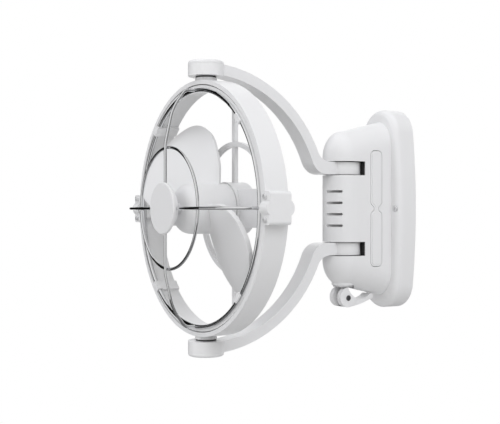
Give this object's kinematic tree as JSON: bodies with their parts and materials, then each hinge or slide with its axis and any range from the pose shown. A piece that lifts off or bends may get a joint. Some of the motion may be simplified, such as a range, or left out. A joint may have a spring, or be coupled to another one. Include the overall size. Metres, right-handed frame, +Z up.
{
  "type": "wall mounted cabin fan",
  "caption": "White wall fan whose two-axis ring head is held by a hinged yoke on a slim base, with chrome wire guard, paddle blades, side rocker and quick-release cam lever.",
  "frame": {"origin": "centre of the wall face of the base", "axes": "+Y into the wall, -Y the way the fan looks at rest, +Z up, +X to the right of someone who looks at the fan from the front"},
  "size_m": [0.225, 0.2458, 0.2434],
  "materials": {
    "white_plastic": "semi-gloss moulded white",
    "rotor_plastic": "semi-gloss moulded white",
    "chrome_wire": "bright plated wire",
    "black_nylon": "matte black",
    "black_rubber": "matte black",
    "screw_steel": "plated steel",
    "pin_steel": "turned steel",
    "black_steel": "black oxide",
    "motor_steel": "grey zinc",
    "board_green": "solder mask"
  },
  "bodies": {
    "base": {"base_housing": "white_plastic", "wall_plate": "black_nylon", "housing_screws": "screw_steel", "cable_grommet": "black_rubber", "circuit_board": "board_green", "board_screws": "screw_steel", "push_switches": "black_nylon", "rocker_pin": "pin_steel", "hinge_skewer": "pin_steel", "skewer_nut": "screw_steel", "hinge_washers": "black_nylon", "cam_washer": "screw_steel"},
    "yoke": {"upper_arm": "white_plastic", "lower_arm": "white_plastic", "upper_lid": "white_plastic", "lower_lid": "white_plastic", "hinge_sleeve": "black_nylon"},
    "gimbal": {"gimbal_ring": "white_plastic", "left_block_cover": "white_plastic", "right_block_cover": "white_plastic", "cover_screws": "screw_steel", "pivot_pins": "pin_steel", "pivot_washers": "black_nylon", "pivot_nuts": "screw_steel"},
    "fan_head": {"head_frame": "white_plastic", "guard_rim": "chrome_wire", "guard_middle_ring": "chrome_wire", "guard_upright_spoke": "chrome_wire", "guard_level_spokes": "chrome_wire", "guard_clips": "white_plastic", "badge_disc": "white_plastic", "badge_back": "white_plastic", "motor_body": "motor_steel", "motor_bearings": "pin_steel", "motor_cap": "white_plastic", "motor_screws": "screw_steel", "tilt_axles": "pin_steel"},
    "rotor": {"fan_rotor": "rotor_plastic", "motor_shaft": "pin_steel", "shaft_nut": "screw_steel"},
    "lever": {"cam_lever": "white_plastic", "cam_pin": "black_steel"},
    "rocker": {"control_rocker": "white_plastic"}
  },
  "joints": [
    {"name": "arm_swing", "type": "hinge", "parent": "base", "child": "yoke", "pos_m": [0, -0.062, 0], "axis": [0, 0, 1], "range_deg": [-90, 90]},
    {"name": "ring_turn", "type": "hinge", "parent": "yoke", "child": "gimbal", "pos_m": [0, -0.2045, 0], "axis": [0, 0, 1], "range_deg": [-180, 180]},
    {"name": "fan_tilt", "type": "hinge", "parent": "gimbal", "child": "fan_head", "pos_m": [0, -0.2045, 0], "axis": [1, 0, 0], "range_deg": [-90, 90]},
    {"name": "blade_spin", "type": "hinge", "parent": "fan_head", "child": "rotor", "pos_m": [0, -0.2045, 0], "axis": [0, 1, 0], "continuous": true},
    {"name": "cam_clamp", "type": "hinge", "parent": "base", "child": "lever", "pos_m": [0, -0.062, -0.0804], "axis": [-1, 0, 0], "range_deg": [0, 110]},
    {"name": "rocker_press", "type": "hinge", "parent": "base", "child": "rocker", "pos_m": [0.0144, -0.0383, 0], "axis": [0, 1, 0], "range_deg": [-2, 2], "stiffness_Nm_per_rad": 0.8}
  ]
}
